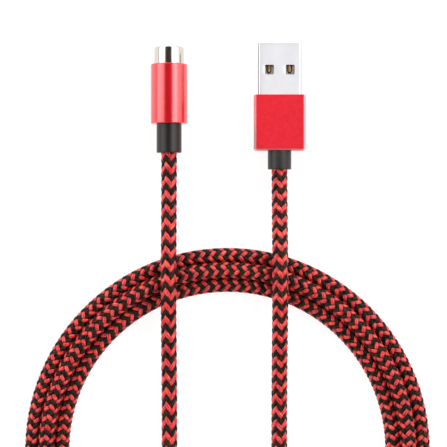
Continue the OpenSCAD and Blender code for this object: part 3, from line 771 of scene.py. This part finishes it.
def shell_sheet():
    """The outer face of the sheet as a grid: places round the tube's outline, starting and
    ending at the seam, by places along Y. Faces in the windows are left out, but for a
    triangle in each corner. The last array tells the sides and bends from the flats: it
    is how far the outward normal leans to the side, from 0.5 up to 0.8 of its length."""
    marks = np.array([WINDOW_X[0], WINDOW_X[0] + WINDOW_CORNER, WINDOW_X[1] - WINDOW_CORNER,
                      WINDOW_X[1]])
    half = np.r_[SEAM, marks, SHELL_W / 2 - SHELL_R]
    top = np.unique(np.r_[-half[1:], 0, half[1:]])[::-1]
    turn = np.radians(np.linspace(-90, 0, CORNER_STEPS))[1:-1]
    corner_x = SHELL_W / 2 - SHELL_R + SHELL_R * np.cos(turn)
    corner_z = SHELL_H / 2 - SHELL_R - SHELL_R * np.sin(turn)
    side_z = np.array([SHELL_R - SHELL_H / 2, 0, SHELL_H / 2 - SHELL_R])
    x = np.r_[half, corner_x, np.full(3, SHELL_W / 2), corner_x[::-1], top,
              -corner_x, np.full(3, -SHELL_W / 2), -corner_x[::-1], -half[::-1]]
    z = np.r_[np.full(len(half), -SHELL_H / 2), -corner_z, side_z, corner_z[::-1],
              np.full(len(top), SHELL_H / 2), corner_z, -side_z, -corner_z[::-1],
              np.full(len(half), -SHELL_H / 2)]
    flats, sides, lean = np.zeros(len(half)), np.ones(3), np.cos(turn)
    lean = np.r_[flats, lean, sides, lean[::-1], np.zeros(len(top)),
                 lean, sides, lean[::-1], flats]
    rear, tip = span("usb_shell")
    window_y = (tip - WINDOW_SETBACK - WINDOW_LENGTH, tip - WINDOW_SETBACK)
    y = np.r_[np.linspace(rear, window_y[0], 5), window_y[0] + WINDOW_CORNER,
              window_y[1] - WINDOW_CORNER, np.linspace(window_y[1], tip, 4)]
    grid = np.stack(np.broadcast_arrays(PLUG_AXIS[0] + x[None] * MM, y[:, None] * MM,
                                        PLUG_AXIS[1] + z[None] * MM), axis=-1)
    j, i = np.meshgrid(np.arange(len(y) - 1), np.arange(len(x) - 1), indexing="ij")
    corners = np.stack([j * len(x) + i, (j + 1) * len(x) + i, (j + 1) * len(x) + i + 1,
                        j * len(x) + i + 1], axis=-1).reshape(-1, 4)
    mid_x = np.abs(x[:-1] + x[1:])[i].ravel() / 2
    mid_y = ((y[:-1] + y[1:]) / 2)[j].ravel()
    flat = np.isclose(np.abs(z[:-1] + z[1:]), SHELL_H)[i].ravel()
    in_x = flat & (mid_x > WINDOW_X[0]) & (mid_x < WINDOW_X[1])
    in_y = (mid_y > window_y[0]) & (mid_y < window_y[1])
    at_x = (mid_x < WINDOW_X[0] + WINDOW_CORNER) | (mid_x > WINDOW_X[1] - WINDOW_CORNER)
    at_y = (mid_y < window_y[0] + WINDOW_CORNER) | (mid_y > window_y[1] - WINDOW_CORNER)
    whole = corners[~(in_x & in_y)]
    cut = corners[in_x & in_y & at_x & at_y]
    # the triangle keeps every corner but the one nearest the window's middle
    points = grid.reshape(-1, 3)
    middle = np.array([0, (window_y[0] + window_y[1]) / 2 * MM])
    corner_at = points[cut]
    sideways = np.abs(np.abs(corner_at[..., 0] - PLUG_AXIS[0]) - np.mean(WINDOW_X) * MM)
    inward = np.argmin(sideways + np.abs(corner_at[..., 1] - middle[1]), axis=1)
    keep = (inward[:, None] + np.array([1, 2, 3])) % 4
    triangles = np.take_along_axis(cut, keep, axis=1)
    loops = np.r_[whole.ravel(), triangles.ravel()]
    sizes = np.r_[np.full(len(whole), 4), np.full(len(triangles), 3)]
    # how strongly each point gets the painted dark reflection of the bends
    bent = np.broadcast_to(np.clip((lean - 0.5) / 0.3, 0, 1), (len(y), len(x)))
    return points, loops, sizes, bent


def plated_paint(tree):
    """Nickel-plated steel strip: pale satin metal with faint rolling lines along it, and
    greyer along the bends, where a dark reflection is painted into its colour."""
    rolled = grain(tree, 0.08 * MM, 2.0, (1.0, 0.03, 1.0))
    rough = add(tree, "ShaderNodeMapRange", {
        "Value": rolled, "To Min": 0.26, "To Max": 0.38}).outputs[0]
    colour = add(tree, "ShaderNodeValToRGB", {"Fac": grain(tree, 3 * MM)}, stops=[
        (0.3, linear("#E9E9EE")), (0.7, linear("#F1F1F5"))]).outputs["Color"]
    # painted dark reflection: the colour turns grey along the bends
    bent = add(tree, "ShaderNodeAttribute", attribute_name="bent").outputs["Fac"]
    painted_bend_reflection = add(tree, "ShaderNodeMix", {
        "Factor": bent, 6: colour, 7: linear("#84848A")}, data_type="RGBA").outputs[2]
    bump = add(tree, "ShaderNodeBump", {
        "Height": rolled, "Strength": 0.12, "Distance": 0.01 * MM})
    return add(tree, "ShaderNodeBsdfPrincipled", {
        "Base Color": painted_bend_reflection, "Metallic": 1.0, "Roughness": rough,
        "Normal": bump.outputs[0]}).outputs["BSDF"]


points, loops, sizes, bent = shell_sheet()
shell = shown("plug_shell", mesh_of("plug_shell", points, loops, sizes, surface(
    "nickel_plated_strip", plated_paint), sharp=50))
# painted dark reflection along the bends, read by the material
bend_reflection_layer = shell.data.attributes.new("bent", "FLOAT", "POINT")
bend_reflection_layer.data.foreach_set("value", bent.astype(np.float32).ravel())
sheet = shell.modifiers.new("sheet", "SOLIDIFY")
sheet.thickness, sheet.offset = SHELL_WALL * MM, -1
edges = shell.modifiers.new("stamped_edges", "BEVEL")
edges.width, edges.segments, edges.limit_method = 0.06 * MM, 2, "ANGLE"
edges.angle_limit = np.radians(50)
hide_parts("usb_shell")


# ---- USB plug: leaves under the windows ----
# Two bronze spring leaves, domed across and with rounded ends, each on a small plate of
# nickel silver. They lie just over the contacts and show in the shell's windows.
LEAF_W, LEAF_RISE, LEAF_END, LEAF_SIDES = 1.45, 0.45, 0.45, 24
LEAF_X = (-3.0, 2.8)             # from the plug's middle
LEAF_TAPER, LEAF_PAST = 1.1, 0.5 # length of its rounded end, and its reach past the window
PLATE_W, PLATE_T = 3.0, 0.15
PLATE_Y = (-0.4, 3.2)            # from the windows' rear edge
CLEAR = 0.02                     # gap under a plate and under a leaf


def leaf_paint(tree):
    """Heat-darkened bronze: brown, in streaks along the strip."""
    drawn = grain(tree, 0.25 * MM, 2.0, (1.0, 0.3, 1.0))
    colour = add(tree, "ShaderNodeValToRGB", {"Fac": drawn}, stops=[
        (0.35, linear("#8A6444")), (0.65, linear("#BE9C74"))]).outputs["Color"]
    return add(tree, "ShaderNodeBsdfPrincipled", {
        "Base Color": colour, "Metallic": 1.0, "Roughness": 0.3}).outputs["BSDF"]


def plate_paint(tree):
    """Nickel silver: a dull, yellowish grey metal, mottled by handling."""
    colour = add(tree, "ShaderNodeValToRGB", {"Fac": grain(tree, 0.5 * MM)}, stops=[
        (0.35, linear("#9C948E")), (0.65, linear("#CFC6BC"))]).outputs["Color"]
    return add(tree, "ShaderNodeBsdfPrincipled", {
        "Base Color": colour, "Metallic": 1.0, "Roughness": 0.45}).outputs["BSDF"]


leaf_bronze = surface("heat_darkened_bronze", leaf_paint)
nickel_silver = surface("nickel_silver", plate_paint)
window_rear = span("usb_shell")[1] - WINDOW_SETBACK - WINDOW_LENGTH
contact_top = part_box("usb_power_contacts")[1][2]
for leaf_x, plate_x, side in zip(LEAF_X, (-np.mean(WINDOW_X), np.mean(WINDOW_X)),
                                 ("left", "right")):
    # a plate: its outline at the bottom and at the top
    corner_x = PLUG_AXIS[0] + (plate_x + PLATE_W / 2 * np.array([1, -1, -1, 1])) * MM
    corner_y = (window_rear + np.repeat(PLATE_Y, 2)) * MM
    rings = np.stack([np.stack([corner_x, corner_y, np.full(4, contact_top + z * MM)], axis=1)
                      for z in (CLEAR, PLATE_T)])
    loft(f"window_plate_{side}", rings, nickel_silver, sharp=40)
    # a leaf: half ellipses that shrink towards the rear end as the quarter of an ellipse
    turn = np.radians(np.linspace(0, 180, LEAF_SIDES))
    end = np.radians(np.linspace(8, 90, 10))
    y = np.r_[LEAF_END + LEAF_TAPER * (1 - np.cos(end)), WINDOW_LENGTH + LEAF_PAST]
    size = np.r_[np.sin(end), 1.0]
    rings = np.stack([
        PLUG_AXIS[0] + (leaf_x + LEAF_W / 2 * size[:, None] * np.cos(turn)) * MM,
        np.broadcast_to((window_rear + y[:, None]) * MM, (len(y), LEAF_SIDES)),
        contact_top + (PLATE_T + CLEAR + LEAF_RISE * size[:, None] * np.sin(turn)) * MM],
        axis=-1)
    loft(f"window_leaf_{side}", rings, leaf_bronze, sharp=40)


# ---- Contacts, wires and fillings inside the connectors ----
# These keep their CAD shapes: stamped and turned contacts, moulded carriers, the ring
# magnet, the small circuit board, soldered joints, and the ends of the cord.
def finish(material, *nodes):
    """Gives CAD nodes a material."""
    for node in nodes:
        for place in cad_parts[node].material_slots:
            place.material = material


def plain_paint(dark, light, size, metallic=0.0, low=0.3, high=0.45, bumpy=0.15):
    """A finish whose colour and roughness drift with one grain of the given size."""
    def paint(tree):
        fac = grain(tree, size, 2.0)
        colour = add(tree, "ShaderNodeValToRGB", {"Fac": fac}, stops=[
            (0.3, linear(dark)), (0.7, linear(light))]).outputs["Color"]
        rough = add(tree, "ShaderNodeMapRange", {
            "Value": fac, "To Min": low, "To Max": high}).outputs[0]
        bump = add(tree, "ShaderNodeBump", {
            "Height": fac, "Strength": bumpy, "Distance": size / 5})
        return add(tree, "ShaderNodeBsdfPrincipled", {
            "Base Color": colour, "Metallic": metallic, "Roughness": rough,
            "Normal": bump.outputs[0]}).outputs["BSDF"]
    return paint


# glass-filled polymers: dull, with the swirl of the filler; black in the head, and taupe
# in the plug, where the windows show it
finish(surface("black_filled_polymer", plain_paint("#141214", "#221E1C", 0.3 * MM,
       low=0.45, high=0.6)), "head_insulator")
finish(surface("taupe_filled_polymer", plain_paint("#857A72", "#A3978D", 0.3 * MM,
       low=0.45, high=0.6)), "usb_tongue")
# gold flash over nickel: warm, bright metal with a slight drag of the stamping tool
finish(surface("gold_flash", plain_paint("#D9A13E", "#F0C266", 0.2 * MM, 1.0, 0.18, 0.3)),
       "head_ring_contact", "head_pin_plunger")
# phosphor bronze: brown, with a dull shine
bronze = surface("phosphor_bronze", plain_paint("#6E5240", "#8C6C54", 0.2 * MM, 1.0, 0.35,
                 0.5))
finish(bronze, "usb_power_contacts", "usb_data_contacts")
# tin solder: frosted silver beads
finish(surface("tin_solder", plain_paint("#A9ACB1", "#C9CCD0", 0.15 * MM, 1.0, 0.3, 0.5)),
       "usb_solder", "head_solder")
# wire insulation: glossy extruded PVC
finish(surface("red_wire_pvc", plain_paint("#A80F12", "#C41B1C", 0.5 * MM, low=0.3, high=0.4)),
       "usb_wire_power", "head_wire_power")
finish(surface("black_wire_pvc", plain_paint("#121213", "#1D1D1F", 0.5 * MM, low=0.3,
       high=0.4)), "usb_wire_ground", "head_wire_ground")
finish(jacket_pvc, "usb_jacket_end", "head_jacket_end")
# crimp rings: drawn steel, zinc plated, slightly cloudy
finish(surface("zinc_plated_crimp", plain_paint("#8E9096", "#B4B6BC", 0.4 * MM, 1.0, 0.3,
       0.5)), "usb_crimp_ring", "head_crimp_ring")
# inner mouldings: milky polypropylene
finish(surface("milky_polypropylene", plain_paint("#D9D6CE", "#E9E7E1", 0.8 * MM, low=0.4,
       high=0.5)), "usb_inner_mould", "head_inner_mould")
# neodymium ring: nickel plate over a sintered body, a little duller than the nose
finish(surface("nickel_plated_magnet", plain_paint("#A7A9AE", "#C3C5CA", 0.3 * MM, 1.0, 0.2,
       0.35)), "head_magnet")
# turned brass: yellow, with a soft shine
finish(surface("turned_brass", plain_paint("#B5852F", "#D3A44A", 0.2 * MM, 1.0, 0.25, 0.35)),
       "head_pin_barrel")
# glass-epoxy board: green lacquer over a weave of 0.3 mm
finish(surface("green_lacquered_board", plain_paint("#12512B", "#1D6E3D", 0.3 * MM, low=0.3,
       high=0.4)), "head_board")


# ---- Magnetic head: spring behind the pin ----
# Compression spring of eight turns, wound from drawn steel wire. It stands on the floor of
# the barrel. The real one shortens as the pin is pressed; this one keeps its length.
SPRING_TURNS, SPRING_R, WIRE_R, WIRE_SIDES = 8, 0.4 * MM, 0.07 * MM, 8
TURN_STEPS = 24
spring_foot, spring_head = (y * MM for y in span("head_pin_spring"))


def spring_rings():
    """Rings of wire along a helix: centre = (R cos a, foot + rise a, R sin a). Each ring
    lies across the helix, between the direction out of its axis and that one's cross
    product with the wire's own direction."""
    a = np.linspace(0, 2 * np.pi * SPRING_TURNS, SPRING_TURNS * TURN_STEPS + 1)[:, None]
    y = np.linspace(spring_foot + WIRE_R, spring_head - WIRE_R, len(a))[:, None]
    out = np.hstack([np.cos(a), np.zeros(a.shape), np.sin(a)])
    middle = SPRING_R * out + np.hstack([np.full(a.shape, HEAD_AXIS[0]), y,
                                         np.full(a.shape, HEAD_AXIS[1])])
    wire = np.gradient(middle, axis=0)
    wire /= np.linalg.norm(wire, axis=1)[:, None]
    turn = (np.arange(WIRE_SIDES) * 2 * np.pi / WIRE_SIDES)[:, None]
    return middle[:, None] + WIRE_R * (np.cos(turn) * out[:, None]
                                       + np.sin(turn) * np.cross(out, wire)[:, None])


# spring steel wire: bright and smooth
spring = loft("pin_spring", spring_rings(), surface("spring_steel", plain_paint(
    "#9C9DA1", "#C2C3C7", 0.1 * MM, 1.0, 0.2, 0.3)), sharp=50)
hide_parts("head_pin_spring")
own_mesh(spring)
